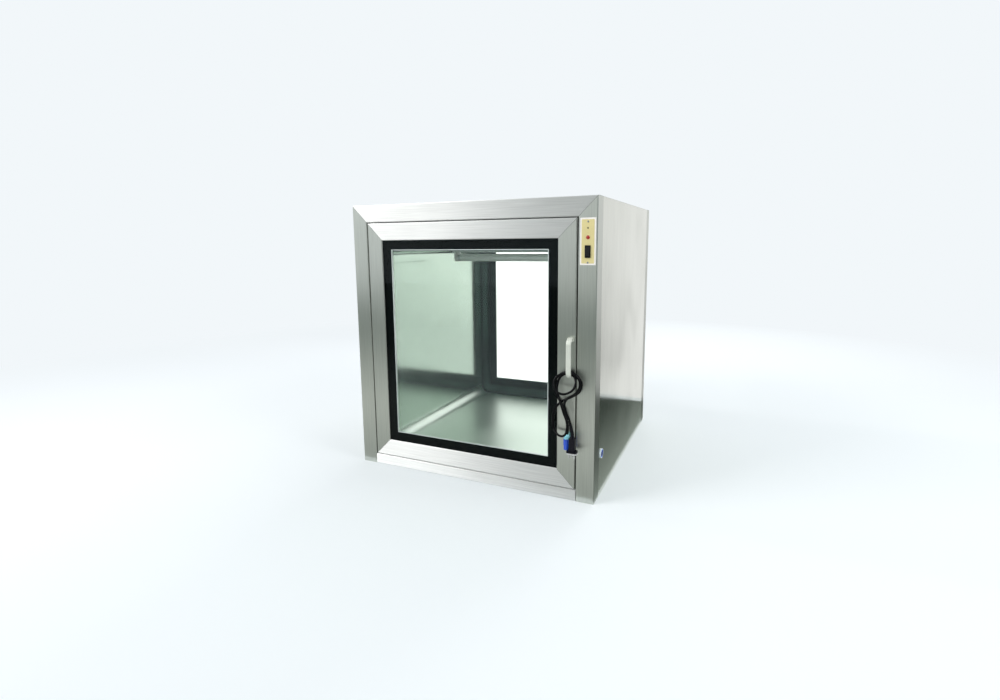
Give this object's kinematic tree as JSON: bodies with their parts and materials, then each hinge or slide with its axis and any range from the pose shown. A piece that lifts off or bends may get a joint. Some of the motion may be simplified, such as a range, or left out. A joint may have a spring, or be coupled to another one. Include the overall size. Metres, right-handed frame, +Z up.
{
  "type": "cleanroom pass box",
  "caption": "Steel cleanroom pass box with interlocked glazed doors at front and rear, a coved chamber with a lamp, a control plate and a mains lead hung over the handle.",
  "frame": {"origin": "centre of the base, in the plane that the cabinet stands on", "axes": "+X to the right as seen from the front, +Y from the front door to the rear door, +Z up"},
  "size_m": [0.753, 0.8302, 0.8],
  "materials": {
    "steel": "brushed",
    "panel_steel": "brushed",
    "chamber_steel": "polished",
    "screw_steel": "satin",
    "zinc_steel": "zinc plated",
    "magnet_steel": "satin",
    "handle_steel": "satin",
    "door_glass": "clear, green tint",
    "black_border": "printed on glass",
    "spacer_metal": "satin",
    "gasket_rubber": "matte",
    "bush_plastic": "moulded",
    "supply_case": "satin",
    "controller_case": "moulded",
    "white_metal": "gloss",
    "white_plastic": "moulded",
    "opal_glass": "opal",
    "lamp_cap": "satin",
    "white_plate": "gloss",
    "cream_plate": "matte",
    "red_lens": "gloss",
    "green_lens": "gloss",
    "black_plastic": "satin",
    "blue_plastic": "satin",
    "collar_plastic": "satin",
    "cord_jacket": "gloss",
    "plug_rubber": "satin"
  },
  "bodies": {
    "cabinet": {"front_frame_top": "steel", "front_frame_left": "steel", "front_frame_right": "steel", "front_frame_bottom": "steel", "rear_frame_top": "steel", "rear_frame_stiles": "steel", "rear_frame_bottom": "steel", "front_landing_plate": "chamber_steel", "rear_landing_plate": "chamber_steel", "chamber_liner": "chamber_steel", "side_panel_left": "panel_steel", "side_panel_right": "panel_steel", "top_cover": "panel_steel", "cover_screws": "screw_steel", "base_panel": "panel_steel", "floor_bearers": "zinc_steel", "base_inserts": "zinc_steel", "equipment_tray": "zinc_steel", "power_supply": "supply_case", "interlock_controller": "controller_case", "lamp_channel": "white_metal", "lamp_holders": "white_plastic", "lamp_tube": "opal_glass", "lamp_caps": "lamp_cap", "lock_magnets": "magnet_steel", "control_plate_border": "white_plate", "control_plate": "cream_plate", "plate_screws": "screw_steel", "red_indicator": "red_lens", "small_indicator": "green_lens", "rocker_housing": "black_plastic", "power_inlet": "blue_plastic", "hinge_pins": "screw_steel"},
    "rocker": {"rocker_button": "black_plastic"},
    "front_door": {"front_door_stiles": "steel", "front_door_rails": "steel", "front_door_back_pan": "panel_steel", "front_door_outer_pane": "door_glass", "front_door_inner_pane": "door_glass", "front_door_border": "black_border", "front_door_spacer": "spacer_metal", "front_door_gasket": "gasket_rubber", "front_door_handle": "handle_steel", "front_door_armature": "magnet_steel", "front_door_bushes": "bush_plastic", "mains_lead": "cord_jacket", "mains_plug": "plug_rubber", "lead_connector": "blue_plastic", "lead_connector_collar": "collar_plastic"},
    "rear_door": {"rear_door_stiles": "steel", "rear_door_rails": "steel", "rear_door_back_pan": "panel_steel", "rear_door_outer_pane": "door_glass", "rear_door_inner_pane": "door_glass", "rear_door_border": "black_border", "rear_door_spacer": "spacer_metal", "rear_door_gasket": "gasket_rubber", "rear_door_handle": "handle_steel", "rear_door_armature": "magnet_steel", "rear_door_bushes": "bush_plastic"}
  },
  "joints": [
    {"name": "front_door_hinge", "type": "hinge", "parent": "cabinet", "child": "front_door", "pos_m": [-0.31, -0.3695, 0.39], "axis": [0, 0, -1], "range_deg": [0, 110]},
    {"name": "rear_door_hinge", "type": "hinge", "parent": "cabinet", "child": "rear_door", "pos_m": [0.31, 0.3695, 0.39], "axis": [0, 0, -1], "range_deg": [0, 110]},
    {"name": "rocker_tilt", "type": "hinge", "parent": "cabinet", "child": "rocker", "pos_m": [0.35, -0.378, 0.663], "axis": [1, 0, 0], "range_deg": [0, 20]}
  ]
}
